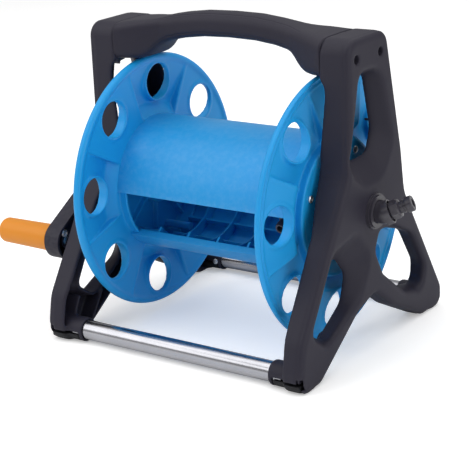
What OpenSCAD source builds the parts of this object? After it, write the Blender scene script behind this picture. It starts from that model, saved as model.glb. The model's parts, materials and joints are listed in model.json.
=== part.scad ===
// Portable garden hose reel: two A-shaped side frames joined by a carrying handle and two
// steel tubes, with a flanged drum between them that a crank turns. The water comes in
// through a swivel elbow on one end of the axle and leaves inside the drum.
// Z is up, Y runs front (-) to back (+), X runs along the axle from the crank to the inlet.
// The floor is z = 0 and the origin is under the middle of the whole object.

/* [Stand] */
// Distance between the outer faces of the two side frames
stand_w = 336; // [320:1:360]
// Depth of each side frame, measured along the axle
frame_d = 32; // [28:1:36]
// Height of the axle above the floor
axle_h = 154; // [150:1:170]
// Height of the top of the side frames above the axle
frame_rise = 186; // [180:1:200]
// Reach of the feet in front of and behind the axle
foot_reach = 151; // [146:1:156]
// Wall thickness of the moulded frames and the handle
wall = 3.5; // [2.5:0.1:4.5]

/* [Tubes] */
// Outer diameter of the two steel cross tubes
tube_d = 22; // [20:0.5:22]
// Wall thickness of the cross tubes
tube_wall = 1.2; // [0.8:0.1:2]
// Distance of each cross tube in front of or behind the axle
tube_reach = 133; // [130:1:134]
// Height of the cross tubes above the floor
tube_h = 13.5; // [13.5:0.5:14.5]

/* [Handle] */
// Highest point of the handle above the floor
handle_top = 354; // [348:1:360]
// Thickness of the grip from top to bottom
grip_h = 29; // [26:1:32]
// Thickness of the grip from front to back
grip_w = 36; // [32:1:40]

/* [Drum] */
// Diameter of the flanges
flange_d = 290; // [280:1:294]
// Width between the flanges, for the hose
winding_w = 230; // [220:1:234]
// Diameter of the barrel that the hose is wound on
barrel_d = 152; // [146:1:156]
// Diameter of the round openings in the flanges
hole_d = 40; // [34:1:42]
// Radius of the circle that the round openings lie on
hole_pitch = 113; // [110:1:115]
// How deep every second sector of a flange is dished outwards
dish = 9; // [6:0.5:10]
// Angle that the drum is turned to about the axle
drum_turn = -5; // [-22:1:22]

/* [Crank] */
// Distance from the axle to the crank grip
crank_r = 109; // [95:1:115]
// Direction of the crank about the axle, counted up from the back
crank_turn = 211; // [180:1:240]
// Length of the crank grip
crank_grip_l = 76; // [70:1:90]
// Diameter of the crank grip beside the arm
crank_grip_d = 31; // [28:1:34]
// Thickness of the crank arm
arm_t = 20; // [16:1:24]

/* [Inlet] */
// Angle between the inlet and the axle
inlet_bend = 30; // [15:1:45]
// Direction that the inlet leans in about the axle
inlet_turn = 51; // [0:1:90]
// Diameter of the end of the inlet that a hose connector snaps onto
nozzle_d = 17; // [16:0.5:18]

/* [Hidden] */
$fn = 96;

// Colours
BLACK = "#413b45";
BLUE = "#2e94d1";
ORANGE = "#ef9f43";
STEEL = "#c9ccd1";
RUBBER = "#1c1c1e";
ACETAL = "#e8e6e0";

// Clearances
run_gap = 0.05;      // a shaft in its bush
free_gap = 0.4;      // moving pieces that pass each other
plug_gap = 0.1;      // a piece in the hole that it fills
arc_step = 12;       // turn of one facet of a rounded corner, in degrees

// Places along the axle, counted from the middle of the drum
face_x = stand_w / 2;
edge_x = face_x - frame_d;
boss_x = 123.5;
tube_end_x = 138;
tube_screw_x = 130;
pad_x0 = 141;
pad_x1 = face_x - 3;
rim_x = winding_w / 2;
hub_x = rim_x + dish + 3;
arm_x = face_x + 8;
arm_end_x = arm_x + arm_t;
pin_disc_t = 3;
grip_x = arm_end_x + pin_disc_t + free_gap;
grip_end_x = grip_x + crank_grip_l;
pin_end_x = grip_end_x - 14;
bend_x = face_x + 15;
nozzle_l = 30;
nozzle_edge = 0.8;
inlet_end_x = bend_x + nozzle_l * cos(inlet_bend) + (nozzle_d / 2 - nozzle_edge) * sin(inlet_bend);
middle_x = (grip_end_x - inlet_end_x) / 2;

// Side frame outline, each corner as [y, z, radius]
top_z = axle_h + frame_rise;
frame_corners = [
    [-foot_reach, 0, 13], [-112, 0, 16], [-34, 51, 50], [3, 62, 10], [36, 36, 60],
    [106, 0, 20], [foot_reach, 0, 13], [foot_reach, 24, 16], [70, 158, 45], [64, 206, 60],
    [36, top_z, 17], [-43, top_z, 17], [-46, 204, 45], [-145, 52, 40],
    [-foot_reach, 24, 16]];
window_top = [
    [-37, 212, 20], [-20, 184, 18], [12, 184, 22], [40, 225, 24], [22, 299, 12], [-36, 299, 14]];
window_front = [
    [-122, 64, 10], [-112, 44, 10], [-40, 70, 18], [-20, 104, 16], [-50, 142, 12], [-92, 110, 60]];
window_rear = [
    [16, 104, 12], [24, 76, 16], [84, 39, 14], [120, 37, 12], [122, 64, 18], [88, 110, 40],
    [44, 130, 14]];
windows = [window_top, window_front, window_rear];

// Handle
handle_x = edge_x;
handle_screw_y = [-27, 21];
handle_screw_z = top_z - 21;
handle_end_z = top_z - 46;

// Flange and barrel
flange_r = flange_d / 2;
barrel_r = barrel_d / 2;
skin = 3;
rib_t = 2.5;
collar_t = 2.5;
lip_w = 9;
root_r = barrel_r - skin;
hub_r = 26;
sector = 45;
shell_turn = 136.5;
rib_x = [-80, -40, 0, 40, 80];
rib_turn = [28, 56, 84, 112];
shell_screw_turn = [shell_turn / 2 - 50, shell_turn / 2, shell_turn / 2 + 50];
shell_screw_r = 63;
shaft_screw_r = 18;

// Shafts
shaft_r = 12;
bush_r = 15;
shaft_disc_r = 23;
shaft_disc_x = hub_x + 3;
bush_x = shaft_disc_x + free_gap;
bore_r = 7;
square_w = 15;
outlet_x = 84;
outlet_turn = 203;

// Crank
arm_hub_r = 20;
arm_end_r = 21;
arm_wall = 3;
arm_skin = 4;
arm_boss_r = 13.5;
arm_cap_r = 10;
arm_cap_t = 3;
pin_r = 5;
pin_plug_r = 6.1;
pin_disc_r = 15;
pin_screw_reach = 13;
washer_t = 1;
cap_r = 9;

// Inlet
inlet_bore_r = 4.5;
ball_r = 12.3;
cup_r = 13;
cup_x = 5;
tail_r = 7;
tail_x = 13;
nut_r = 10.4;
oring_x = [face_x - 17, face_x - 9];
oring_w = 2.2;

// ---- Outlines -------------------------------------------------------------

function unit(v) = v / norm(v);
function flat(c) = [c[0], c[1]];
function half_angle(a, b, c) = acos(unit(a - b) * unit(c - b)) / 2;
function bisector(a, b, c) = unit(unit(a - b) + unit(c - b));
function bulges(a, b, c) = cross(b - a, c - b) > 0;

// Points of the arc that rounds corner b between its neighbours a and c
function corner_arc(a, b, c, r) =
    let (half = half_angle(a, b, c),
         centre = b + bisector(a, b, c) * r / sin(half),
         from = b + unit(a - b) * r / tan(half) - centre,
         to = b + unit(c - b) * r / tan(half) - centre,
         start = atan2(from.y, from.x),
         sweep = (atan2(to.y, to.x) - start + 540) % 360 - 180,
         n = max(1, ceil(abs(sweep) / arc_step)))
    [for (i = [0:n]) centre + r * [cos(start + sweep * i / n), sin(start + sweep * i / n)]];

// Closed outline with every corner rounded
function rounded(cs) =
    let (n = len(cs))
    [for (i = [0:n - 1])
        each corner_arc(flat(cs[(i + n - 1) % n]), flat(cs[i]), flat(cs[(i + 1) % n]), cs[i][2])];

// The same corners moved inwards by t, or outwards where t is negative
function inset(cs, t) =
    let (n = len(cs))
    [for (i = [0:n - 1])
        let (a = flat(cs[(i + n - 1) % n]), b = flat(cs[i]), c = flat(cs[(i + 1) % n]),
             side = bulges(a, b, c) ? 1 : -1,
             p = b + side * bisector(a, b, c) * t / sin(half_angle(a, b, c)))
        [p.x, p.y, max(cs[i][2] - side * t, 1)]];

// ---- Shared shapes --------------------------------------------------------

// Moves to the middle of the drum, on the axle
module on_axle() { translate([middle_x, 0, axle_h]) children(); }

// Moves to the middle of the stand, on the floor
module on_floor() { translate([middle_x, 0, 0]) children(); }

// Mirrors to the crank side where end is negative
module at_end(end) {
    if (end < 0) mirror([1, 0, 0]) children();
    else children();
}

// A [y, z] outline stretched along the axle from x0 to x1
module along_x(outline, x0, x1) {
    translate([x0, 0, 0]) rotate([90, 0, 90]) linear_extrude(x1 - x0) polygon(outline);
}

// A round bar along the axle from x0 to x1
module bar(r, x0, x1) { translate([x0, 0, 0]) rotate([0, 90, 0]) cylinder(r = r, h = x1 - x0); }

// A tube along the axle
module pipe(r_out, r_in, x0, x1) {
    difference() {
        bar(r_out, x0, x1);
        bar(r_in, x0 - 1, x1 + 1);
    }
}

// A screw along +X with its pan head outside, at x
module screw(x, length, head_r, head_t, shank_r) {
    difference() {
        union() {
            bar(shank_r, x - length, x);
            translate([x, 0, 0]) rotate([0, 90, 0])
                rotate_extrude() polygon(concat([[0, 0], [head_r, 0]],
                    [for (a = [0:18:72])
                        [head_r * cos(a), head_t / 3 + head_t * 2 / 3 * sin(a)]]));
        }
        for (turn = [0, 90]) rotate([turn, 0, 0])
            translate([x + head_t / 2, -head_r * 0.6, -0.5]) cube([head_t, head_r * 1.2, 1]);
    }
}

// ---- Stand ----------------------------------------------------------------

// Outline of one foot's corner, front or back, as a box
module foot_corner(side, x0, x1, z1) {
    y0 = side < 0 ? -foot_reach - 1 : 122;
    translate([x0, y0, -1]) cube([x1 - x0, foot_reach - 121, z1 + 1]);
}

module pad_shape(side, grow) {
    intersection() {
        difference() {
            along_x(rounded(frame_corners), pad_x0 - grow, pad_x1 + grow);
            along_x(rounded(inset(frame_corners, 4 + grow)), pad_x0 - 1, pad_x1 + 1);
        }
        foot_corner(side, pad_x0 - grow, pad_x1 + grow, 20 + grow);
    }
}

// Hole from the inner side of a tube boss into the tube
module tube_screw_hole(side, r) {
    translate([tube_screw_x, side * tube_reach, tube_h]) rotate([side * 90, 0, 0])
        translate([0, 0, 4]) cylinder(r = r, h = 14);
}

module frame_ribs() {
    for (rib = [[[-132, 20], [-60, 168]], [[-20, 104], [-46, 204]], [[0, 62], [0, 135]],
                [[16, 104], [44, 158]], [[-100, 12], [-70, 54]], [[92, 14], [84, 39]],
                [[40, 240], [60, 235]], [[-45, 170], [-17, 160]], [[17, 160], [64, 190]],
                [[0, 299], [0, 336]], [[-40, 300], [-22, 290]]]) {
        span = rib[1] - rib[0];
        translate([edge_x + 6, rib[0].x, rib[0].y]) rotate([atan2(span.y, span.x), 0, 0])
            translate([0, 0, -rib_t / 2]) cube([frame_d - 6, norm(span), rib_t]);
    }
}

module frame() {
    color(BLACK) difference() {
        union() {
            difference() {
                along_x(rounded(frame_corners), edge_x, face_x);
                along_x(rounded(inset(frame_corners, wall)), edge_x - 1, face_x - wall);
            }
            intersection() {
                along_x(rounded(inset(frame_corners, wall / 2)), edge_x + 4, face_x);
                union() {
                    for (w = windows) along_x(rounded(inset(w, -wall)), edge_x + 4, face_x);
                    for (side = [-1, 1]) foot_corner(side, pad_x0 - 3, face_x, 26);
                    frame_ribs();
                }
            }
            translate([0, 0, axle_h]) bar(bush_r + 5, edge_x - 1, face_x);
            for (side = [-1, 1]) translate([0, side * tube_reach, tube_h])
                bar(tube_h, boss_x, face_x - 1);
            for (y = handle_screw_y) translate([0, y, handle_screw_z])
                bar(6, edge_x + 13, face_x - 1);
        }
        for (w = windows) along_x(rounded(w), edge_x - 1, face_x + 1);
        translate([0, 0, axle_h]) bar(bush_r, edge_x - 2, face_x + 1);
        for (side = [-1, 1]) translate([0, side * tube_reach, tube_h])
            bar(tube_d / 2 + run_gap, boss_x - 1, tube_end_x + 1);
        for (y = handle_screw_y) translate([0, y, handle_screw_z]) {
            bar(2.3, edge_x, face_x + 1);
            bar(4.8, face_x - 8, face_x + 1);
        }
        for (side = [-1, 1]) {
            pad_shape(side, 0.05);
            tube_screw_hole(side, 2.05);
        }
    }
}

module frame_right() { on_floor() frame(); }

module frame_left() { on_floor() mirror([1, 0, 0]) frame(); }

// Side view of the handle as seen from the front, as [x, z, radius] corners
module handle_body(t) {
    top = handle_top - t;
    low = handle_top - grip_h + t;
    side = [[-handle_x, handle_end_z + t, 1], [-127, handle_end_z + 2 + t, 4],
            [-117, handle_end_z + 13 + t, 8], [-78, low - 9, 30], [-34, low, 120], [34, low, 120],
            [78, low - 9, 30], [117, handle_end_z + 13 + t, 8], [127, handle_end_z + 2 + t, 4],
            [handle_x, handle_end_z + t, 1], [handle_x, top_z - 1 - t, 2], [104, top_z + 1 - t, 40],
            [52, top, 100], [-52, top, 100], [-104, top_z + 1 - t, 40],
            [-handle_x, top_z - 1 - t, 2]];
    half = grip_w / 2 - t;
    plan = [[-handle_x - t, -42 + t, 2], [-104, -29 + t, 40], [-64, -half, 60], [64, -half, 60],
            [104, -29 + t, 40], [handle_x + t, -42 + t, 2], [handle_x + t, 34 - t, 2],
            [104, 25 - t, 40], [64, half, 60], [-64, half, 60], [-104, 25 - t, 40],
            [-handle_x - t, 34 - t, 2]];
    intersection() {
        rotate([90, 0, 0]) translate([0, 0, -60]) linear_extrude(120) polygon(rounded(side));
        linear_extrude(handle_top + 1) polygon(rounded(plan));
    }
}

// The handle is a channel, open below
module handle() {
    on_floor() color(BLACK) difference() {
        union() {
            difference() {
                handle_body(0);
                intersection() {
                    handle_body(wall);
                    translate([-handle_x + wall, -60, 0]) cube([2 * (handle_x - wall), 120, 400]);
                }
                translate([-68, -grip_w / 2 + wall, handle_top - grip_h - 12])
                    cube([136, grip_w - 2 * wall, 20]);
            }
            for (x = [-96, -72, 72, 96]) intersection() {
                handle_body(wall / 2);
                translate([x - rib_t / 2, -60, handle_end_z]) cube([rib_t, 120, 80]);
            }
            for (end = [-1, 1], y = handle_screw_y) translate([0, y, handle_screw_z])
                at_end(end) bar(5.5, handle_x - 16, handle_x + 12.9);
        }
        for (end = [-1, 1], y = handle_screw_y) translate([0, y, handle_screw_z])
            at_end(end) bar(1.85, handle_x - 6, handle_x + 14);
    }
}

// Strip that closes the underside of the grip
module handle_cover() {
    on_floor() color(BLACK) difference() {
        intersection() {
            translate([-67.9, -grip_w / 2 + wall + 0.05, handle_top - grip_h])
                cube([135.8, grip_w - 2 * wall - 0.1, 7]);
            handle_body(0.1);
        }
        translate([-64, -grip_w / 2 + wall + 2.5, handle_top - grip_h + 2.5])
            cube([128, grip_w - 2 * wall - 5, 7]);
    }
}

module handle_screws() {
    on_floor() color(STEEL) for (end = [-1, 1], y = handle_screw_y)
        translate([0, y, handle_screw_z]) at_end(end)
            screw(face_x - 8, face_x - 8 - handle_x + 4, 4, 2.6, 1.8);
}

module tube(side) {
    on_floor() color(STEEL) difference() {
        translate([0, side * tube_reach, tube_h])
            pipe(tube_d / 2, tube_d / 2 - tube_wall, -tube_end_x, tube_end_x);
        for (end = [-1, 1]) at_end(end) tube_screw_hole(side, 1.85);
    }
}

module tube_front() { tube(-1); }

module tube_rear() { tube(1); }

// Self-tapping screws that hold the tubes in their bosses
module tube_screws() {
    on_floor() color(STEEL) for (end = [-1, 1], side = [-1, 1])
        translate([end * tube_screw_x, side * tube_reach, tube_h]) rotate([0, 0, -side * 90])
            screw(tube_h + 0.1, 7, 3.4, 2.2, 1.8);
}

module foot_pad(end, side) {
    on_floor() color(RUBBER) at_end(end) pad_shape(side, 0);
}

module foot_pad_front_left() { foot_pad(-1, -1); }

module foot_pad_front_right() { foot_pad(1, -1); }

module foot_pad_rear_left() { foot_pad(-1, 1); }

module foot_pad_rear_right() { foot_pad(1, 1); }

// Plain bearing of one frame, with a thrust flange towards the drum
module bush() {
    color(ACETAL) difference() {
        union() {
            bar(bush_r - 0.02, bush_x, face_x);
            bar(bush_r + 4, bush_x, edge_x - 1);
        }
        bar(shaft_r + run_gap, bush_x - 1, face_x + 1);
    }
}

module bush_right() { on_axle() bush(); }

module bush_left() { on_axle() mirror([1, 0, 0]) bush(); }

// ---- Drum -----------------------------------------------------------------

// Moves to the axle and turns with the drum
module on_drum() { on_axle() rotate([drum_turn, 0, 0]) children(); }

// An [r, x] outline spun about the axle through turn degrees
module spun(outline, start, turn) {
    rotate([start, 0, 0]) rotate([90, 0, 90]) rotate_extrude(angle = turn) polygon(outline);
}

// A flat wall that stands out from the axle at an angle
module spoke(angle, r0, r1, x0, x1, t) {
    rotate([angle, 0, 0]) translate([x0, r0, -t / 2]) cube([x1 - x0, r1 - r0, t]);
}

// Moves to radius r at an angle about the axle
module at_angle(angle, r) { rotate([angle, 0, 0]) translate([0, r, 0]) children(); }

// One flange: every second sector is dished outwards, every opening has a collar between the
// two levels, and the hub is bored for a shaft
module flange() {
    lip = [[flange_r - lip_w, rim_x], [flange_r - lip_w + 2, rim_x - 1.6],
           [flange_r - 5, rim_x - 2.5], [flange_r - 2, rim_x - 1.6], [flange_r, rim_x + 0.8],
           [flange_r, rim_x + 6], [flange_r - 2.6, rim_x + 6], [flange_r - 2.8, rim_x + 2],
           [flange_r - 5, rim_x + 0.6], [flange_r - lip_w + 2, rim_x + skin],
           [flange_r - lip_w, rim_x + skin]];
    root = barrel_r - 2;
    bend = barrel_r + 14;
    edge = flange_r - lip_w + 1;
    high = [[root, rim_x], [edge, rim_x], [edge, rim_x + skin], [root, rim_x + skin]];
    low = [[root, rim_x + 0.5], [bend, rim_x + dish], [edge, rim_x], [edge, rim_x + skin - 0.3],
           [bend, hub_x], [root, hub_x]];
    socket = [[root_r - 3, rim_x - 10], [root_r - 0.05, rim_x - 10], [root_r - 0.05, rim_x],
              [barrel_r, rim_x], [barrel_r, hub_x], [root_r - 3, hub_x]];
    step_wall = [[root, rim_x + 0.5], [edge, rim_x + 0.5], [edge, rim_x + skin - 0.7],
                 [bend, hub_x - 0.5], [root, hub_x - 0.5]];
    between = [[root + 1, rim_x + 0.2], [edge - 0.3, rim_x + 0.2], [edge - 0.3, rim_x + skin - 0.4],
               [bend, hub_x - 0.3], [root + 1, hub_x - 0.3]];
    border = 1.2;
    lap = 0.5;
    color(BLUE) difference() {
        union() {
            rotate([90, 0, 90]) rotate_extrude() polygon(lip);
            for (i = [0:3]) rotate([sector + i * 90, 0, 0]) {
                spun(high, -sector / 2 - lap, sector + 2 * lap);
                spun(low, sector / 2 - lap, sector + 2 * lap);
                for (side = [-1, 1]) spun(step_wall, side * sector / 2 - border, 2 * border);
            }
            spun(socket, 0, 360);
            intersection() {
                spun(between, 7, 360);
                for (i = [0:7]) at_angle(i * sector, hole_pitch)
                    bar(hole_d / 2 + collar_t, rim_x - 1, hub_x + 1);
            }
            bar(barrel_r - 1, hub_x - skin, hub_x);
            bar(hub_r, rim_x - 3, hub_x - 1);
            for (i = [0:7]) spoke(i * sector, hub_r - 1, root_r - 1, rim_x + 2, hub_x - 1, rib_t);
        }
        bar(shaft_r + run_gap, rim_x - 4, hub_x + 1);
        for (i = [0:7]) at_angle(i * sector, hole_pitch) bar(hole_d / 2, rim_x - 5, hub_x + 5);
        for (i = [0:2]) at_angle(i * 120, shaft_screw_r) bar(1.6, rim_x - 1, hub_x + 1);
        for (half = [0, 180], a = shell_screw_turn)
            at_angle(half + sector + a, shell_screw_r) bar(2.3, hub_x - skin - 1, hub_x + 1);
    }
}

module flange_right() { on_drum() flange(); }

module flange_left() { on_drum() mirror([1, 0, 0]) flange(); }

// Screw post inside one end of a shell, tied to the shell by a short wall
module shell_post(angle, end) {
    at_end(end) difference() {
        union() {
            at_angle(angle, shell_screw_r) bar(4.6, rim_x - 26, hub_x - skin - 0.1);
            spoke(angle, shell_screw_r + 3, root_r + 1, rim_x - 26, rim_x - 11, 3);
        }
        at_angle(angle, shell_screw_r) bar(1.6, rim_x - 12, hub_x);
    }
}

// Half of the barrel: a curved skin with a stiff bar along each long edge
module barrel_shell(ring_depth, lengthwise) {
    inner_x = rim_x - 10.2;
    edge_turn = 4.5;
    skin_cut = [[root_r, -rim_x], [barrel_r, -rim_x], [barrel_r, rim_x], [root_r, rim_x]];
    edge_cut = [[root_r - 5, -inner_x], [root_r + 1, -inner_x], [root_r + 1, inner_x],
                [root_r - 5, inner_x]];
    color(BLUE) union() {
        spun(skin_cut, 0, shell_turn);
        spun(edge_cut, 0, edge_turn);
        spun(edge_cut, shell_turn - edge_turn, edge_turn);
        for (x = rib_x)
            spun([[root_r - ring_depth, x - rib_t / 2], [root_r + 1, x - rib_t / 2],
                  [root_r + 1, x + rib_t / 2], [root_r - ring_depth, x + rib_t / 2]],
                0.5, shell_turn - 1);
        for (a = lengthwise)
            spoke(a, root_r - ring_depth * 0.7, root_r + 1, -inner_x, inner_x, rib_t);
        for (a = shell_screw_turn, end = [-1, 1]) shell_post(a, end);
    }
}

module barrel_upper() { on_drum() rotate([sector, 0, 0]) barrel_shell(4, [shell_turn / 2]); }

module barrel_lower() { on_drum() rotate([sector + 180, 0, 0]) barrel_shell(12, rib_turn); }

module barrel_screws() {
    on_drum() color(STEEL) for (end = [-1, 1], half = [0, 180], a = shell_screw_turn)
        at_end(end) at_angle(half + sector + a, shell_screw_r) screw(hub_x, 14, 4, 2.4, 1.5);
}

// Disc that bolts the stub shaft to the outside of a flange, with its spigot in the hub
module stub() {
    difference() {
        union() {
            bar(shaft_disc_r, hub_x, shaft_disc_x);
            bar(shaft_r, rim_x - 3, face_x + 0.5);
        }
        for (i = [0:2]) at_angle(i * 120, shaft_screw_r) {
            bar(2.05, hub_x - 1, shaft_disc_x + 1);
            bar(3.4, shaft_disc_x - 1.6, shaft_disc_x + 1);
        }
    }
}

// Solid stub on the crank side, ending in the square that the crank sits on
module drive_shaft() {
    on_drum() mirror([1, 0, 0]) color(BLACK) difference() {
        union() {
            stub();
            rotate([crank_turn - drum_turn, 0, 0]) translate([face_x, -square_w / 2, -square_w / 2])
                cube([arm_end_x - 6 - face_x, square_w, square_w]);
        }
        bar(2.6, face_x - 6, arm_end_x);
    }
}

// Hollow stub on the inlet side, which carries the water to the outlet elbow
module water_shaft() {
    on_drum() color(BLACK) difference() {
        union() {
            stub();
            pipe(shaft_r - 1, bore_r, outlet_x + 12, rim_x - 2);
        }
        bar(bore_r, outlet_x, face_x + 1);
    }
}

module shaft_screws() {
    on_drum() color(STEEL) for (end = [-1, 1]) at_end(end)
        for (i = [0:2]) at_angle(i * 120, shaft_screw_r)
            screw(shaft_disc_x - 1.6, 12, 3.2, 1.6, 1.5);
}

// Elbow inside the barrel that turns the water out towards the slot
module outlet_elbow() {
    on_drum() color(BLACK) difference() {
        union() {
            bar(15, outlet_x - 13, outlet_x + 26);
            translate([outlet_x, 0, 0]) at_angle(outlet_turn, 0) rotate([-90, 0, 0])
                cylinder(r = 11, h = 34);
        }
        bar(shaft_r - 1 + run_gap, outlet_x + 12, outlet_x + 27);
        bar(bore_r, outlet_x - 6, outlet_x + 13);
        translate([outlet_x, 0, 0]) at_angle(outlet_turn, 0) rotate([-90, 0, 0])
            cylinder(r = 6, h = 40);
    }
}

// Tail that the start of the hose is clamped to
module outlet_tail() {
    barbs = [[4, 26], [5.95, 26], [5.95, 34.05], [10, 34.05], [10, 40], [6.2, 40], [6.2, 42],
             [7, 42], [6.2, 46], [7, 46], [6.2, 50], [7, 50], [5.6, 55], [4, 55]];
    on_drum() color(BLACK) translate([outlet_x, 0, 0]) rotate([outlet_turn, 0, 0])
        rotate([-90, 0, 0]) rotate_extrude() polygon(barbs);
}

// ---- Crank ----------------------------------------------------------------

// Outline round two circles, r0 at the start and r1 at a distance, as [y, z] points
function two_circles(r0, r1, distance) =
    let (lean = acos((r0 - r1) / distance))
    concat([for (i = [0:20]) let (a = lean + (360 - 2 * lean) * i / 20) r0 * [cos(a), sin(a)]],
           [for (i = [0:16]) let (a = -lean + 2 * lean * i / 16)
               [distance, 0] + r1 * [cos(a), sin(a)]]);

// Moves to the crank side of the axle, with the crank along +Y
module on_crank() { on_axle() rotate([crank_turn, 0, 0]) mirror([1, 0, 0]) children(); }

// Crank arm: a channel open towards the frame, with full-depth bosses at both ends
module crank_arm() {
    on_crank() color(BLACK) difference() {
        union() {
            difference() {
                along_x(two_circles(arm_hub_r, arm_end_r, crank_r), arm_x, arm_end_x);
                along_x(two_circles(arm_hub_r - arm_wall, arm_end_r - arm_wall, crank_r),
                    arm_x - 1, arm_end_x - arm_skin);
            }
            bar(arm_boss_r, arm_x, arm_end_x);
            translate([0, crank_r, 0]) bar(8.5, arm_x + 4, arm_end_x);
            for (side = [-1, 1]) translate([0, crank_r, side * pin_screw_reach])
                bar(4.6, arm_x + 1.5, arm_end_x);
            for (y = [32, 52, 72]) translate([arm_x + 4, y - rib_t / 2, 2 - arm_hub_r])
                cube([arm_t - 5, rib_t, 2 * arm_hub_r - 4]);
        }
        translate([arm_x - 1, -square_w / 2 - run_gap, -square_w / 2 - run_gap])
            cube([arm_t - 5, square_w + 2 * run_gap, square_w + 2 * run_gap]);
        bar(3.05, arm_x, arm_end_x + 1);
        bar(arm_cap_r, arm_end_x - arm_cap_t, arm_end_x + 1);
        translate([0, crank_r, 0]) bar(pin_plug_r + plug_gap, arm_x, arm_end_x + 1);
        for (side = [-1, 1]) translate([0, crank_r, side * pin_screw_reach])
            bar(2.05, arm_x, arm_end_x + 1);
    }
}

// Bolt that holds the crank on the square
module crank_bolt() {
    on_crank() color(STEEL) screw(arm_end_x - arm_cap_t, 24, 6, 2.5, 2.55);
}

// Cap over the bolt
module crank_cap() {
    seat_x = arm_end_x - arm_cap_t + plug_gap;
    on_crank() color(BLACK) spun([[0, arm_end_x + 2], [0, arm_end_x], [8.4, arm_end_x],
        [8.4, seat_x], [arm_cap_r - 0.05, seat_x], [arm_cap_r - 0.05, arm_end_x],
        [12, arm_end_x], [11, arm_end_x + 2]], 0, 360);
}

// Pin of the grip, on a disc that is screwed to the arm
module crank_pin() {
    on_crank() color(STEEL) translate([0, crank_r, 0]) difference() {
        union() {
            bar(pin_disc_r, arm_end_x, arm_end_x + pin_disc_t);
            bar(pin_plug_r, arm_end_x - 12, arm_end_x);
            bar(pin_r, arm_end_x, pin_end_x);
        }
        bar(1.6, pin_end_x - 16, pin_end_x + 1);
        for (side = [-1, 1]) translate([0, 0, side * pin_screw_reach])
            bar(1.55, arm_end_x - 1, arm_end_x + pin_disc_t + 1);
    }
}

module crank_pin_screws() {
    on_crank() color(STEEL) for (side = [-1, 1])
        translate([arm_x + 1.5, crank_r, side * pin_screw_reach]) mirror([1, 0, 0])
            screw(0, arm_t + 1, 4.4, 2.4, 1.5);
}

// Grip that spins on the pin
module crank_grip() {
    r0 = crank_grip_d / 2;
    r1 = r0 - 1;
    seat_x = pin_end_x - free_gap;
    end_x = grip_end_x - 0.5;
    profile = concat([[pin_r + run_gap, grip_x], [r0 - 2, grip_x], [r0, grip_x + 2],
                      [r1, grip_end_x - 6]],
        [for (a = [15:15:75]) [r1 - 6 + 6 * cos(a), grip_end_x - 6 + 5.5 * sin(a)]],
        [[cap_r, end_x], [cap_r, seat_x], [pin_r + run_gap, seat_x]]);
    on_crank() color(ORANGE) translate([0, crank_r, 0]) spun(profile, 0, 360);
}

module grip_washer() {
    on_crank() color(STEEL) translate([0, crank_r, 0])
        pipe(8, 1.9, pin_end_x, pin_end_x + washer_t);
}

module grip_screw() {
    on_crank() color(STEEL) translate([0, crank_r, 0])
        screw(pin_end_x + washer_t, 13, 3.6, 2.6, 1.55);
}

// Plug that closes the end of the grip
module grip_cap() {
    rim_r = cap_r - 0.05;
    x = grip_end_x;
    on_crank() color(ORANGE) translate([0, crank_r, 0])
        spun([[0, x - 3], [7, x - 3], [7, x - 8], [rim_r, x - 8], [rim_r, x - 0.4], [0, x]],
            0, 360);
}

// ---- Inlet ----------------------------------------------------------------

// Ring on the outside of the frame that keeps the elbow in the shaft
module inlet_collar() {
    on_axle() color(BLACK) difference() {
        union() {
            bar(19, face_x, face_x + 3.6);
            bar(17.4, face_x, face_x + 6);
        }
        bar(15.2, face_x - 1, face_x + 4.2);
        bar(12.6, face_x, face_x + 7);
    }
}

// Turns from the axle to the direction of the inlet branch, at the bend
module on_branch() {
    on_axle() translate([bend_x, 0, 0]) rotate([inlet_turn, 0, 0]) rotate([0, 0, inlet_bend])
        children();
}

module inlet_elbow() {
    color(BLACK) difference() {
        union() {
            on_axle() {
                bar(bore_r - run_gap, face_x - 22, face_x + 1);
                bar(14.6, face_x + 1, face_x + 3.8);
                bar(12, face_x + 3, bend_x - 3);
            }
            difference() {
                on_axle() translate([bend_x - 3, 0, 0]) sphere(r = ball_r);
                on_branch() bar(cup_r + 2, cup_x - 0.6, tail_x);
            }
            on_branch() {
                bar(cup_r, -2, cup_x);
                bar(tail_r, cup_x - 1, tail_x);
            }
        }
        on_axle() bar(inlet_bore_r, face_x - 23, bend_x + 1.5);
        on_branch() {
            bar(inlet_bore_r + 0.5, -1, tail_x + 1);
            pipe(cup_r - 1.5, tail_r + 1.6, cup_x / 2, cup_x + 1);
        }
        on_axle() for (x = oring_x) pipe(bore_r + 1, bore_r - 1.6, x, x + oring_w);
    }
}

module inlet_orings() {
    on_axle() color(RUBBER) for (x = oring_x)
        spun([for (a = [0:30:330])
            [bore_r - 0.85 + 0.72 * cos(a), x + oring_w / 2 + 0.9 * sin(a)]], 0, 360);
}

// Six-sided nut that clamps the nozzle to the elbow
module inlet_nut() {
    on_branch() color(BLACK) difference() {
        translate([cup_x + 1.1, 0, 0]) rotate([0, 90, 0]) cylinder(r = nut_r, h = 7, $fn = 6);
        bar(tail_r + run_gap, cup_x, tail_x + 1);
    }
}

// Nozzle that a garden hose connector snaps onto
module inlet_nozzle() {
    r = nozzle_d / 2;
    x = tail_x + plug_gap;
    on_branch() color(BLACK) spun([[inlet_bore_r, x], [9.4, x], [9.4, 15], [6.4, 16],
        [6.4, 18.6], [7.2, 18.6], [7.2, 20], [6.4, 20], [6.4, 22.4], [r, 23.4],
        [r, nozzle_l - nozzle_edge], [r - nozzle_edge, nozzle_l], [inlet_bore_r, nozzle_l]],
        0, 360);
}

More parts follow.
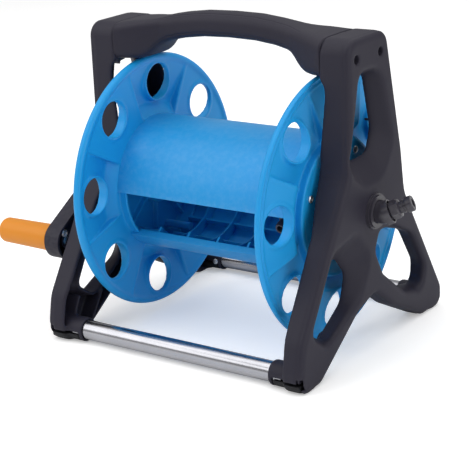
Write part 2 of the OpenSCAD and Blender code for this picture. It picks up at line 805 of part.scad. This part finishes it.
frame_left();
frame_right();
handle();
handle_cover();
handle_screws();
tube_front();
tube_rear();
tube_screws();
foot_pad_front_left();
foot_pad_front_right();
foot_pad_rear_left();
foot_pad_rear_right();
bush_left();
bush_right();
flange_left();
flange_right();
barrel_upper();
barrel_lower();
barrel_screws();
drive_shaft();
water_shaft();
shaft_screws();
outlet_elbow();
outlet_tail();
crank_arm();
crank_bolt();
crank_cap();
crank_pin();
crank_pin_screws();
crank_grip();
grip_washer();
grip_screw();
grip_cap();
inlet_collar();
inlet_elbow();
inlet_nut();
inlet_nozzle();
inlet_orings();
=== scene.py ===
import json
import math

import bpy
import numpy as np
from mathutils import Euler, Matrix, Vector


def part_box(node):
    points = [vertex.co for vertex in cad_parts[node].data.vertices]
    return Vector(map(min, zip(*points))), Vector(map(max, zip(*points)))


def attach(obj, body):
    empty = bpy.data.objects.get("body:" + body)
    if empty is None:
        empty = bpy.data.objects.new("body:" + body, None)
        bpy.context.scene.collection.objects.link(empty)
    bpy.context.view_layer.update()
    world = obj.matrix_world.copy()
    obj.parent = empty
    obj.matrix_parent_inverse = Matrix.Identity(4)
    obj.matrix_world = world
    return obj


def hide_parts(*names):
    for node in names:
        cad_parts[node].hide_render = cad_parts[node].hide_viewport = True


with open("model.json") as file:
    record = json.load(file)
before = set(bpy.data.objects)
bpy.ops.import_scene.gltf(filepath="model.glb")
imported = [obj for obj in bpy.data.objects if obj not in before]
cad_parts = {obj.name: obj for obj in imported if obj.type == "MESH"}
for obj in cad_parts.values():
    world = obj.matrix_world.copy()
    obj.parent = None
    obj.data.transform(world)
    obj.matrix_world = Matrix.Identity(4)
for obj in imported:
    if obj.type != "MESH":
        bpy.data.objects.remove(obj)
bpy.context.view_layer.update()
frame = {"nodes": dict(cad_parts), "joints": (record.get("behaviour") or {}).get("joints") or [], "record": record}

MM = 0.001
JOINTS = {joint["name"]: joint for joint in frame["joints"]}
MIDDLE = JOINTS["reel_spin"]["pos_m"][0] / MM
AXLE_Z = JOINTS["reel_spin"]["pos_m"][2] / MM


def span(node):
    """Lowest and highest corner of a CAD node, in millimetres, x counted from the drum."""
    lo, hi = (np.array(corner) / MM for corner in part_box(node))
    shift = np.array([MIDDLE, 0, 0])
    return lo - shift, hi - shift


FRAME_HI = span("frame_right")[1]
FACE_X = FRAME_HI[0]
TOP_Z = FRAME_HI[2]
REACH = FRAME_HI[1]
FLANGE_HI = span("flange_right")[1]
FLANGE_R = FLANGE_HI[1]
HUB_X = FLANGE_HI[0]
TUBE_LO, TUBE_HI = span("tube_front")
TUBE_R = (TUBE_HI[2] - TUBE_LO[2]) / 2
TUBE_Y = -(TUBE_HI[1] + TUBE_LO[1]) / 2
TUBE_Z = (TUBE_HI[2] + TUBE_LO[2]) / 2


# ---- Fields and meshes -------------------------------------------------------------------


def smooth_max(a, b, blend):
    """The larger of two fields, rounded over where they're within blend of each other."""
    near = np.maximum(blend - np.abs(a - b), 0) / blend
    return np.maximum(a, b) + near * near * blend / 4


def smooth_min(a, b, blend):
    """The smaller of two fields, rounded over in the same way."""
    return -smooth_max(-a, -b, blend)


def ease(t):
    """0 to 1 as t goes from 0 to 1, level at both ends."""
    t = np.clip(t, 0, 1)
    return t * t * (3 - 2 * t)


def outline(corners, turn=10):
    """Points of a closed outline of (y, z, radius) corners, with an arc at each corner."""
    points = []
    for i, corner in enumerate(corners):
        here = np.array(corner[:2], float)
        back = np.array(corners[i - 1][:2], float) - here
        ahead = np.array(corners[(i + 1) % len(corners)][:2], float) - here
        back, ahead = back / np.linalg.norm(back), ahead / np.linalg.norm(ahead)
        half = math.acos(np.clip(back @ ahead, -1, 1)) / 2
        middle = (back + ahead) / np.linalg.norm(back + ahead)
        centre = here + middle * corner[2] / math.sin(half)
        first = here + back * corner[2] / math.tan(half) - centre
        last = here + ahead * corner[2] / math.tan(half) - centre
        start = math.atan2(first[1], first[0])
        sweep = (math.atan2(last[1], last[0]) - start + math.pi) % (2 * math.pi) - math.pi
        steps = max(1, math.ceil(abs(math.degrees(sweep)) / turn))
        for k in range(steps + 1):
            angle = start + sweep * k / steps
            points.append(centre + corner[2] * np.array([math.cos(angle), math.sin(angle)]))
    return np.array(points)


def slab(value, low, high):
    """Field of the room between two planes across one axis."""
    return np.maximum(low - value, value - high)


def segment_distance(y, z, a, b):
    """Distance of a grid of points from the line between two points."""
    along = np.array(b, float) - np.array(a, float)
    t = np.clip(((y - a[0]) * along[0] + (z - a[1]) * along[1]) / (along @ along), 0, 1)
    return np.hypot(y - a[0] - t * along[0], z - a[1] - t * along[1])


def outline_distance(y, z, points):
    """Signed distance of a grid of points from a closed outline, negative inside."""
    nearest = np.full(y.shape, np.inf)
    inside = np.zeros(y.shape, bool)
    for a, b in zip(points, np.roll(points, -1, axis=0)):
        if np.allclose(a, b):
            continue
        nearest = np.minimum(nearest, segment_distance(y, z, a, b))
        if a[1] != b[1]:
            level = (a[1] <= z) != (b[1] <= z)
            inside ^= level & (y < a[0] + (z - a[1]) * (b[0] - a[0]) / (b[1] - a[1]))
    return np.where(inside, -nearest, nearest)


def surface(field, origin, step):
    """Vertices and quads where a sampled field is zero, with one vertex to a cell."""
    cells = tuple(n - 1 for n in field.shape)
    count = np.zeros(np.prod(cells))
    total = np.zeros((np.prod(cells), 3))
    quads = []
    for axis in range(3):
        near = np.take(field, range(field.shape[axis] - 1), axis)
        far = np.take(field, range(1, field.shape[axis]), axis)
        place = np.array(np.nonzero((near < 0) != (far < 0))).T
        a, b = near[tuple(place.T)], far[tuple(place.T)]
        crossing = place.astype(float)
        crossing[:, axis] += a / (a - b)
        ring = []
        for du, dv in ((-1, -1), (0, -1), (0, 0), (-1, 0)):
            cell = place.copy()
            cell[:, (axis + 1) % 3] += du
            cell[:, (axis + 2) % 3] += dv
            ring.append(np.ravel_multi_index(tuple(cell.T), cells))
            count += np.bincount(ring[-1], minlength=len(count))
            for k in range(3):
                total[:, k] += np.bincount(ring[-1], crossing[:, k], len(count))
        quad = np.array(ring).T
        quads.append(np.where((a < 0)[:, None], quad, quad[:, ::-1]))
    used = np.nonzero(count)[0]
    number = np.zeros(len(count), int)
    number[used] = np.arange(len(used))
    points = total[used] / count[used, None] * step + np.array(origin)
    return points, number[np.concatenate(quads)]


def grid(lo, hi, step):
    """Sample places of a box: x as a column, y and z as one sheet."""
    axes = [np.arange(a, b + step, step) for a, b in zip(lo, hi)]
    y, z = np.meshgrid(axes[1], axes[2], indexing="ij")
    return axes[0][:, None, None], y, z


def link_mesh(name, points, faces):
    """An object with a new mesh, in the scene."""
    mesh = bpy.data.meshes.new(name)
    mesh.from_pydata(points, [], faces)
    obj = bpy.data.objects.new(name, mesh)
    bpy.context.scene.collection.objects.link(obj)
    return obj


def add_piece(name, points, faces):
    """A smooth piece from points in millimetres, x counted from the drum."""
    placed = (points + np.array([MIDDLE, 0, 0])) * MM
    obj = link_mesh(name, placed.tolist(), faces)
    obj.data.update()
    obj.data.shade_smooth()
    return obj


def add_pair(name, points, quads, stand_in, body, slot, material):
    """The same shape on both ends: as made on the right, and mirrored on the left."""
    for side, end in (("right", 1), ("left", -1)):
        faces = (quads if end > 0 else quads[:, ::-1]).tolist()
        obj = add_piece(f"{name}_{side}", points * np.array([end, 1, 1]), faces)
        finish_piece(obj, body, slot, material, f"{stand_in}_{side}")


def finish_piece(obj, body, slot, material, *nodes):
    """Gives a piece its material and body, and hides the CAD nodes that it stands for."""
    obj.data.materials.append(material)
    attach(obj, body)
    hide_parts(*nodes)


# ---- Materials ---------------------------------------------------------------------------


def new_material(name):
    material = bpy.data.materials.new(name)
    material.use_nodes = True
    return material, material.node_tree, material.node_tree.nodes["Principled BSDF"]


def noise(tree, scale, detail=2.0, roughness=0.5, stretch=None):
    """Noise over the object's own metres, stretched along an axis where stretch is given."""
    place = tree.nodes.new("ShaderNodeTexCoord").outputs["Object"]
    if stretch:
        mapping = tree.nodes.new("ShaderNodeMapping")
        mapping.inputs["Scale"].default_value = stretch
        tree.links.new(place, mapping.inputs["Vector"])
        place = mapping.outputs["Vector"]
    texture = tree.nodes.new("ShaderNodeTexNoise")
    texture.inputs["Scale"].default_value = scale
    texture.inputs["Detail"].default_value = detail
    texture.inputs["Roughness"].default_value = roughness
    tree.links.new(place, texture.inputs["Vector"])
    return texture.outputs["Fac"]


def spread(tree, value, low, high, at=(0.3, 0.7)):
    """Maps a noise value onto a range."""
    node = tree.nodes.new("ShaderNodeMapRange")
    node.inputs["From Min"].default_value = at[0]
    node.inputs["From Max"].default_value = at[1]
    node.inputs["To Min"].default_value = low
    node.inputs["To Max"].default_value = high
    tree.links.new(value, node.inputs["Value"])
    return node.outputs["Result"]


def mix_colour(tree, factor, dark, light):
    """A colour between two, by a factor that runs over the surface."""
    node = tree.nodes.new("ShaderNodeMix")
    node.data_type = "RGBA"
    for name, colour in (("A", dark), ("B", light)):
        socket = next(s for s in node.inputs if s.name == name and s.type == "RGBA")
        if isinstance(colour, bpy.types.NodeSocket):
            tree.links.new(colour, socket)
        else:
            socket.default_value = (*colour, 1)
    tree.links.new(factor, node.inputs["Factor"])
    return next(s for s in node.outputs if s.type == "RGBA")


def bump(tree, shader, height, distance):
    node = tree.nodes.new("ShaderNodeBump")
    node.inputs["Distance"].default_value = distance
    node.inputs["Strength"].default_value = 1.0
    tree.links.new(height, node.inputs["Height"])
    tree.links.new(node.outputs["Normal"], shader.inputs["Normal"])


def tint(colour, gain):
    """A colour made lighter or darker by a factor."""
    return tuple(min(c * gain, 1) for c in colour)


def moulded(name, colour, rough, grain=0.6, grain_depth=0.00003, edge_wear_and_sheen=0.25, see_through=0.0,
            gloss=0.35):
    """Moulded plastic: spark-eroded grain, cloudy gloss, flow marks, and paler sharp edges in patches, a painted
    edge highlight broken up like wear.
    """
    material, tree, shader = new_material(name)
    clouds = noise(tree, 6, 3, 0.5)
    flow = noise(tree, 9, 2, 0.5, stretch=(1, 1, 0.25))
    body = mix_colour(tree, spread(tree, clouds, 0, 1), tint(colour, 0.97), tint(colour, 1.03))
    # paler where the surface is sharp, and there only in patches: a painted edge highlight, broken up like wear
    edge = tree.nodes.new("ShaderNodeNewGeometry").outputs["Pointiness"]
    sheen_and_scuff = tree.nodes.new("ShaderNodeMath")
    sheen_and_scuff.operation = "MULTIPLY"
    tree.links.new(spread(tree, edge, 0, edge_wear_and_sheen, (0.56, 0.68)), sheen_and_scuff.inputs[0])
    tree.links.new(spread(tree, noise(tree, 160, 3, 0.6), 0.2, 1, (0.4, 0.65)), sheen_and_scuff.inputs[1])
    pale = tuple(c + (1 - c) * 0.22 for c in colour)
    body = mix_colour(tree, sheen_and_scuff.outputs[0], body, pale)
    tree.links.new(body, shader.inputs["Base Color"])
    tree.links.new(spread(tree, flow, rough - 0.03, rough + 0.04), shader.inputs["Roughness"])
    bump(tree, shader, noise(tree, 1000 / grain, 2, 0.6), grain_depth)
    shader.inputs["IOR"].default_value = 1.5
    shader.inputs["Specular IOR Level"].default_value = gloss
    shader.inputs["Subsurface Weight"].default_value = see_through
    shader.inputs["Subsurface Radius"].default_value = (0.3, 0.6, 1.0)
    shader.inputs["Subsurface Scale"].default_value = 0.004
    return material


def plated(name, colour, rough, stretch):
    """Plated steel with drawing marks along it and faint smears."""
    material, tree, shader = new_material(name)
    shader.inputs["Metallic"].default_value = 1.0
    lines = noise(tree, 900, 3, 0.65, stretch=stretch)
    smears = noise(tree, 30, 4, 0.6)
    hue = mix_colour(tree, spread(tree, smears, 0, 1), tint(colour, 0.93), tint(colour, 1.05))
    tree.links.new(hue, shader.inputs["Base Color"])
    tree.links.new(spread(tree, lines, rough * 0.7, rough * 1.5), shader.inputs["Roughness"])
    bump(tree, shader, lines, 0.000004)
    return material


# each material's edge strength below sets its painted edge highlight, broken into patches like wear
BLACK = moulded("charcoal_moulded", (0.021, 0.019, 0.032), 0.55, edge_wear_and_sheen=0.10, gloss=0.28)
FITTING = moulded("charcoal_satin", (0.036, 0.033, 0.046), 0.30, grain=1.2, grain_depth=0.00001,
                  edge_wear_and_sheen=0.28, gloss=0.60)
BLUE = moulded("blue_moulded", (0.008, 0.320, 0.730), 0.42, grain_depth=0.000015, edge_wear_and_sheen=0.22,
               see_through=0.10)
ORANGE = moulded("orange_moulded", (0.76, 0.27, 0.020), 0.45, grain_depth=0.00002,
                 see_through=0.10)
ACETAL = moulded("acetal", (0.80, 0.78, 0.72), 0.35, grain=1.5, grain_depth=0.000008)
RUBBER = moulded("rubber", (0.010, 0.010, 0.013), 0.62, grain=0.9, grain_depth=0.00005,
                 edge_wear_and_sheen=0.03)
CHROME = plated("chrome_tube", (0.46, 0.46, 0.49), 0.20, (0.01, 1, 1))
ZINC = plated("zinc_screw", (0.72, 0.73, 0.76), 0.28, (1, 1, 1))

SLOT_MATERIALS = {
    "black_plastic": BLACK, "fitting_plastic": FITTING, "blue_plastic": BLUE,
    "orange_plastic": ORANGE, "tube_steel": CHROME, "screw_steel": ZINC,
    "bearing_plastic": ACETAL, "rubber": RUBBER,
}
for part in frame["record"]["subparts"]:
    cad_mesh = frame["nodes"][part["node"]].data
    cad_mesh.materials.clear()
    cad_mesh.materials.append(SLOT_MATERIALS[part["material_slot"]])


# ---- Side frames -------------------------------------------------------------------------

# Outline of a side frame, its windows on the outer face and where they narrow to, as
# (y, z, corner radius)
FRAME_OUTLINE = [
    (-REACH, 0, 13), (-112, 0, 16), (-34, 51, 50), (3, 62, 10), (36, 36, 60), (106, 0, 20),
    (REACH, 0, 13), (REACH, 24, 16), (70, 158, 45), (64, 206, 60), (36, TOP_Z, 17),
    (-43, TOP_Z, 17), (-46, 204, 45), (-145, 52, 40), (-REACH, 24, 16)]
WINDOWS = [
    ([(-44, 206, 22), (-20, 187, 24), (18, 187, 26), (42, 222, 28), (20, 302, 22),
      (-20, 304, 14)],
     [(-38, 220, 16), (-14, 210, 22), (16, 211, 14), (26, 236, 20), (12, 297, 10),
      (-22, 297, 10)]),
    ([(-126, 56, 12), (-100, 37, 16), (-34, 66, 22), (-10, 106, 18), (-38, 138, 18),
      (-80, 130, 16)],
     [(-116, 56, 8), (-90, 38, 10), (-44, 64, 20), (-34, 92, 14), (-54, 116, 12),
      (-84, 110, 12)]),
    ([(4, 108, 12), (20, 78, 20), (66, 42, 24), (102, 32, 14), (112, 58, 20), (84, 104, 24),
      (44, 126, 16), (14, 128, 10)],
     [(14, 104, 10), (26, 78, 16), (66, 46, 20), (108, 36, 12), (112, 62, 18), (82, 108, 24),
      (46, 120, 14), (20, 122, 8)]),
]
# How far in a window goes on narrowing
WINDOW_DEPTH = 19
# Ends of the ribs of the hollow back, as (y, z)
FRAME_RIBS = [
    ((-132, 20), (-60, 168)), ((-20, 104), (-46, 204)), ((0, 62), (0, 135)),
    ((16, 104), (44, 158)), ((-100, 12), (-70, 54)), ((92, 14), (84, 39)),
    ((40, 240), (60, 235)), ((-45, 170), (-17, 160)), ((17, 160), (64, 190)),
    ((0, 299), (0, 336)), ((-40, 300), (-22, 290))]
# Height above the floor and place along the axle of the frame's inner edge
INNER_EDGE = [(0, 144), (40, 144), (70, 142), (145, 141), (178, 134), (200, 131), (222, 131),
              (255, 135), (284, 138), (292, 137), (300, 132.5), (TOP_Z, 132.5)]
WALL = 3.5
EDGE_FILLET = 7
SEAM_DEPTH, SEAM_AT = 0.8, 6.5
HOLLOW_TOP = 296
RIB_HALF = 1.3
AXLE_BOSS_R, AXLE_BORE_R, AXLE_BOSS_X = 21, 15, 131
TUBE_BOSS_X, TUBE_SEAT_X = 123.5, 138
# The slot in each foot and the rubber pad in it, along the axle and up from the floor
SLOT_X, SLOT_TOP = (128.5, 163.5), 13.2
PAD_X, PAD_TOP = (129, 163), 10.4
# Two small notches in the toe of each foot
NOTCH_X, NOTCH_Z, NOTCH_HALF = (161.5, 165.5), (6, 18), 1.3
SCREW_Y, SCREW_DROP, SCREW_R, SCREW_DEPTH = (-27, 21), 21, 4.8, 9


def frame_field(x, y, z):
    """Fields of the right side frame and of the pads that close its feet."""
    edge = outline_distance(y, z, outline(FRAME_OUTLINE))
    depth = FACE_X - x
    side, face = edge + EDGE_FILLET, EDGE_FILLET - depth
    solid = np.hypot(np.maximum(side, 0), np.maximum(face, 0)) - EDGE_FILLET
    solid = solid + np.minimum(np.maximum(side, face), 0)
    inner = np.interp(z, *zip(*INNER_EDGE)) - x
    solid = smooth_max(solid, inner, 4)
    # a shallow line round the frame, where the outer face meets its side
    line = np.exp(-((depth - SEAM_AT) / 1.3) ** 2) * np.exp(-(edge / 3) ** 2)
    solid = solid + SEAM_DEPTH * line

    hollow = smooth_max(edge + WALL, WALL + 0.5 - depth, 3)
    rib_room = np.full(y.shape, np.inf)
    for wide, narrow in WINDOWS:
        wide = outline_distance(y, z, outline(wide))
        narrow = outline_distance(y, z, outline(narrow))
        window, behind = (wide + (narrow - wide) * ease(at / WINDOW_DEPTH)
                          for at in (depth, depth - WALL))
        rib_room = np.minimum(rib_room, wide - 4)
        collar = np.minimum(WALL - np.minimum(window, behind), WINDOW_DEPTH + 1 - depth)
        hollow = smooth_max(hollow, collar, 3)
        solid = smooth_max(solid, -window, 7)
    for a, b in FRAME_RIBS:
        rib = np.minimum(RIB_HALF - segment_distance(y, z, a, b), rib_room)
        hollow = np.maximum(hollow, rib + 0 * x)
    hollow = np.maximum(hollow, z - HOLLOW_TOP)
    solid = smooth_max(solid, -hollow, 1.5)

    axle = np.hypot(y, z - AXLE_Z)
    boss = smooth_max(axle - AXLE_BOSS_R, slab(x, AXLE_BOSS_X, FACE_X), 1.5)
    solid = smooth_min(solid, boss, 3)
    for side in (-1, 1):
        tube = np.hypot(y - side * TUBE_Y, z - TUBE_Z)
        boss = smooth_max(tube - TUBE_Z, slab(x, TUBE_BOSS_X, FACE_X - 3), 2)
        solid = smooth_min(solid, boss, 4)
        solid = smooth_max(solid, -np.maximum(tube - TUBE_R - 0.1, x - TUBE_SEAT_X), 0.8)
    whole = solid
    skin = np.maximum(-whole - 4.5, 120 - np.abs(y) + 0 * x)
    slot = np.maximum(skin, np.maximum(slab(x, *SLOT_X), z - SLOT_TOP))
    solid = smooth_max(solid, -slot, 0.8)
    for notch_x in NOTCH_X:
        notch = np.maximum(np.abs(x - notch_x) - NOTCH_HALF, slab(z, *NOTCH_Z))
        notch = np.maximum(notch, np.maximum(-whole - 2.5, 140 - np.abs(y)))
        solid = smooth_max(solid, -notch, 0.8)
    pad = np.maximum(slab(x, *PAD_X), z - PAD_TOP)
    pad = smooth_max(whole + 0.2, np.maximum(pad, skin + 0.4), 1.5)
    solid = smooth_max(solid, AXLE_BORE_R - axle, 1.2)
    for hole_y in SCREW_Y:
        hole = np.hypot(y - hole_y, z - TOP_Z + SCREW_DROP)
        solid = smooth_max(solid, -np.maximum(hole - SCREW_R, FACE_X - SCREW_DEPTH - x), 1.2)
    # the recess at the end of the handle's top
    notch = np.maximum(np.maximum(np.abs(x - 133) - 2.2, np.abs(y - 12) - 8), TOP_Z - 3 - z)
    return smooth_max(solid, -notch, 1.0), pad


def standing_surface(field, lo, hi, step):
    """The surface of one of frame_field's fields in a box, with nothing under the floor."""
    points, quads = surface(frame_field(*grid(lo, hi, step))[field], lo, step)
    points[:, 2] = np.maximum(points[:, 2], 0)
    return points, quads


def build_frames():
    points, quads = standing_surface(
        0, (121.0, -REACH - 3.1, -3.1), (FACE_X + 3, REACH + 3, TOP_Z + 3), 1.5)
    add_pair("side_frame", points, quads, "frame", "stand", "black_plastic", BLACK)
    for place, low, high in (("front", -REACH - 2, -117), ("rear", 117, REACH + 2)):
        points, quads = standing_surface(1, (126.0, low, -2.0), (166, high, 13), 0.8)
        add_pair(f"foot_sole_{place}", points, quads, f"foot_pad_{place}", "stand", "rubber",
                 RUBBER)


# ---- Handle ------------------------------------------------------------------------------

# Place along the axle: top, bottom, front, back and squareness of the handle's section
HANDLE_SECTIONS = [
    (0, 354, 326.5, -18, 18, 2.6), (34, 353.2, 325.5, -18, 18, 2.6),
    (60, 350.2, 322.5, -18.5, 18, 2.7), (77, 347.2, 319, -20, 19, 2.9),
    (84, 345.6, 316, -21.5, 20.5, 3.2), (90, 344.3, 311.5, -24, 22.5, 3.8),
    (96, 343.3, 306, -27, 25, 4.4), (102, 342.6, 302, -30, 27.5, 4.8),
    (108, 342.2, 299.8, -33, 29.5, 5.0), (116, 341.6, 299, -36.5, 31.5, 5.0),
    (124, 340.8, 299, -40, 33.5, 5.0), (130, 340.2, 299, -42, 35, 5.0),
    (133, 340, 299, -43, 35.5, 5.0)]
HANDLE_END = 133
# Where the creases run along the grip, as angles round it, and their width in the same angle
CREASES, CREASE_W = (-0.48, math.pi + 0.48, 1.0, 2.14), 0.05


def handle_section(x, around):
    """Points round the handle at one place along the axle."""
    at, top, low, front, back, square = (np.array(column) for column in zip(*HANDLE_SECTIONS))
    top, low, front, back, square = (
        np.interp(abs(x), at, column) for column in (top, low, front, back, square))
    c, s = np.cos(around), np.sin(around)
    y = np.sign(c) * np.abs(c) ** (2 / square)
    z = np.sign(s) * np.abs(s) ** (2 / square)
    grip = np.clip(1 - (abs(x) / 100) ** 6, 0, 1)
    crease = 0
    for place in CREASES:
        off = (around - place + math.pi) % (2 * math.pi) - math.pi
        crease = crease + np.exp(-(off / CREASE_W) ** 2)
    pull = 1 - 0.045 * crease * grip
    centre_y, centre_z = (front + back) / 2, (top + low) / 2
    y = centre_y + y * (back - front) / 2 * pull
    z = centre_z + z * (top - low) / 2 * pull
    return np.stack([np.full_like(y, x), y, z], axis=1)


def build_handle():
    stations, around_count = 133, 144
    around = np.linspace(0, 2 * math.pi, around_count, endpoint=False)
    xs = np.linspace(-HANDLE_END, HANDLE_END, stations)
    points = np.concatenate([handle_section(x, around) for x in xs])
    faces = []
    for i in range(stations - 1):
        for k in range(around_count):
            a, b = i * around_count + k, i * around_count + (k + 1) % around_count
            faces.append((a, a + around_count, b + around_count, b))
    last = (stations - 1) * around_count
    caps = [tuple(range(around_count)), tuple(range(last + around_count - 1, last - 1, -1))]
    obj = add_piece("handle_shell", points, faces + caps)
    finish_piece(obj, "stand", "black_plastic", BLACK, "handle", "handle_cover")


# ---- Flanges -----------------------------------------------------------------------------

DRUM_TURN = math.radians(-5)
RIM_X = 115.0
SKIN = 3.0
HOLE_R, HOLE_PITCH = 20.0, 113.0
# The eight sectors, by their edges out from the axle, and how deep the dished ones are
SECTOR_IN, SECTOR_OUT, DISH = 74, 137.5, 8.6
HUB_R, BORE_R = 26, 12.2
SPOKE_END, SPOKE_HALF = 72, 1.4


def flange_field(x, y, z):
    """Field of the right flange with the drum unturned, z counted from the axle."""
    r = np.hypot(y, z)
    angle = np.arctan2(z, y)
    off = (angle - math.pi / 4) % (math.pi / 2)
    off = np.minimum(off, math.pi / 2 - off)
    border = r * np.sin(np.clip(off - math.pi / 8, -math.pi / 2, math.pi / 2))
    floor = np.interp(r, [SECTOR_IN, 77, 90, 94, 133, 137],
                      [RIM_X, RIM_X + 0.4, RIM_X + DISH, RIM_X + DISH, RIM_X + 0.6, RIM_X])
    ring = slab(r, SECTOR_IN, SECTOR_OUT)
    high = np.abs(x - RIM_X - SKIN / 2) - SKIN / 2
    low = (np.abs(x - floor - SKIN / 2) - SKIN / 2) * 0.92
    solid = smooth_min(np.maximum(high, border), np.maximum(low, -border), 1.5)
    dished = np.maximum(RIM_X - x, x - floor - SKIN)
    solid = smooth_min(solid, np.maximum(np.abs(border) - 1.3, dished), 2.0)
    holes = np.full(y.shape, np.inf)
    for k in range(8):
        turn = k * math.pi / 4
        hole = np.hypot(y - HOLE_PITCH * math.cos(turn), z - HOLE_PITCH * math.sin(turn))
        holes = np.minimum(holes, hole)
    collar = smooth_max(np.abs(holes - HOLE_R - 1.1) - 1.3, dished, 1.0)
    solid = smooth_min(solid, collar, 4.0)
    solid = np.maximum(solid, ring)
    rim = np.hypot(r - FLANGE_R + 4.6, (x - RIM_X - 2.4) * 0.95) - 4.6
    rim = smooth_max(rim, 3.4 - np.hypot(r - FLANGE_R + 5.6, x - RIM_X - 6.4), 1.0)
    solid = smooth_min(solid, rim, 2.0)
    socket = np.maximum(np.abs(r - 73.2) - 2.8, slab(x, RIM_X, HUB_X))
    tongue = np.maximum(np.abs(r - 71.4) - 1.6, slab(x, 105, RIM_X + 2))
    plate = np.maximum(r - SECTOR_IN, np.abs(x - HUB_X + SKIN / 2 + 0.4) - SKIN / 2)
    hub = np.maximum(r - HUB_R, slab(x, 112, HUB_X - 1))
    spokes = np.full(y.shape, np.inf)
    for k in range(8):
        turn = k * math.pi / 4
        across = np.abs(y * math.sin(turn) - z * math.cos(turn)) - SPOKE_HALF
        along = y * math.cos(turn) + z * math.sin(turn)
        spokes = np.minimum(spokes, np.maximum(across, slab(along, HUB_R - 1, SPOKE_END)))
    spokes = np.maximum(spokes, slab(x, RIM_X + 2, HUB_X - 1))
    for part in (socket, tongue, plate, hub, spokes):
        solid = smooth_min(solid, part, 1.2)
    solid = smooth_max(solid, HOLE_R - holes, 1.2)
    return smooth_max(solid, BORE_R - r, 0.8)


def build_flanges():
    step = 1.2
    lo = (102.0, -FLANGE_R - 2, -FLANGE_R - 2)
    x, y, z = grid(lo, (HUB_X + 2, FLANGE_R + 2, FLANGE_R + 2), step)
    points, quads = surface(flange_field(x, y, z), lo, step)
    c, s = math.cos(DRUM_TURN), math.sin(DRUM_TURN)
    turned = np.stack([points[:, 0], points[:, 1] * c - points[:, 2] * s,
                       points[:, 1] * s + points[:, 2] * c + AXLE_Z], axis=1)
    add_pair("dished_flange", turned, quads, "flange", "reel", "blue_plastic", BLUE)


build_frames()
build_handle()
build_flanges()


# ---- Room, light and camera --------------------------------------------------------------


def add_sheet(name, width, height):
    """A flat rectangle round its own origin."""
    w, h = width / 2, height / 2
    return link_mesh(name, [(-w, -h, 0), (w, -h, 0), (w, h, 0), (-w, h, 0)], [(0, 1, 2, 3)])


def point_at(obj, place, aim):
    obj.location = place
    obj.rotation_euler = (Vector(aim) - Vector(place)).to_track_quat("-Z", "Y").to_euler()


def build_floor():
    floor = add_sheet("floor", 12, 12)
    material, tree, shader = new_material("pale_floor")
    mottle = spread(tree, noise(tree, 3, 2), 0, 1)
    tree.links.new(mix_colour(tree, mottle, (0.93, 0.93, 0.93), (0.95, 0.95, 0.95)),
                   shader.inputs["Base Color"])
    shader.inputs["Roughness"].default_value = 0.9
    shader.inputs["Specular IOR Level"].default_value = 0.1
    shader.inputs["Emission Color"].default_value = (1, 1, 1, 1)
    seen = tree.nodes.new("ShaderNodeLightPath").outputs["Is Camera Ray"]
    tree.links.new(spread(tree, seen, 0, 0.32, (0, 1)), shader.inputs["Emission Strength"])
    floor.data.materials.append(material)


def add_light(name, place, aim, size, power):
    data = bpy.data.lights.new(name, "AREA")
    data.shape = "RECTANGLE"
    data.size = data.size_y = size
    data.energy = power
    light = bpy.data.objects.new(name, data)
    point_at(light, place, aim)
    bpy.context.scene.collection.objects.link(light)


def add_card(name, place, aim, size):
    """A black card that only reflections see, for contrast on the plated tubes."""
    card = add_sheet(name, *size)
    point_at(card, place, aim)
    material, tree, shader = new_material(name)
    shader.inputs["Base Color"].default_value = (0.02, 0.02, 0.02, 1)
    shader.inputs["Roughness"].default_value = 1
    shader.inputs["Specular IOR Level"].default_value = 0
    card.data.materials.append(material)
    for kind in ("camera", "diffuse", "shadow", "transmission"):
        setattr(card, f"visible_{kind}", False)


def build_light():
    """Soft studio light, and a white room that is brighter to the camera than it lights."""
    world = bpy.data.worlds.new("studio")
    world.use_nodes = True
    background = world.node_tree.nodes["Background"]
    background.inputs["Color"].default_value = (1, 1, 1, 1)
    seen = world.node_tree.nodes.new("ShaderNodeLightPath").outputs["Is Camera Ray"]
    world.node_tree.links.new(spread(world.node_tree, seen, 0.46, 1, (0, 1)),
                              background.inputs["Strength"])
    bpy.context.scene.world = world
    aim = (0, 0, 0.17)
    add_light("key", (-1.4, -1.6, 2.0), aim, 2.6, 35)
    add_light("top", (0.2, 0.3, 2.2), aim, 2.8, 28)
    add_light("side", (2.2, -0.4, 1.0), aim, 1.2, 12)
    low_aim = (0, 0, 0.1)
    add_card("card_high", (0.3, -1.3, 1.9), low_aim, (3.4, 0.6))
    add_card("card_low", (0.3, -2.2, 0.8), low_aim, (3.4, 0.7))
    view = bpy.context.scene.view_settings
    view.view_transform = "Standard"
    view.look = "None"


def build_camera():
    azimuth, elevation, roll = math.radians(35.67), math.radians(17.82), math.radians(-3.0)
    data = bpy.data.cameras.new("camera")
    data.lens = 114.5
    data.sensor_width = 36
    data.clip_end = 50
    camera = bpy.data.objects.new("camera", data)
    turn = Euler((math.pi / 2 - elevation, 0, azimuth)).to_matrix() @ Matrix.Rotation(roll, 3, "Z")
    camera.rotation_euler = turn.to_euler()
    camera.location = (MIDDLE * MM + 0.9195, -1.2964, 0.6247)
    bpy.context.scene.collection.objects.link(camera)
    bpy.context.scene.camera = camera


build_floor()
build_light()
build_camera()
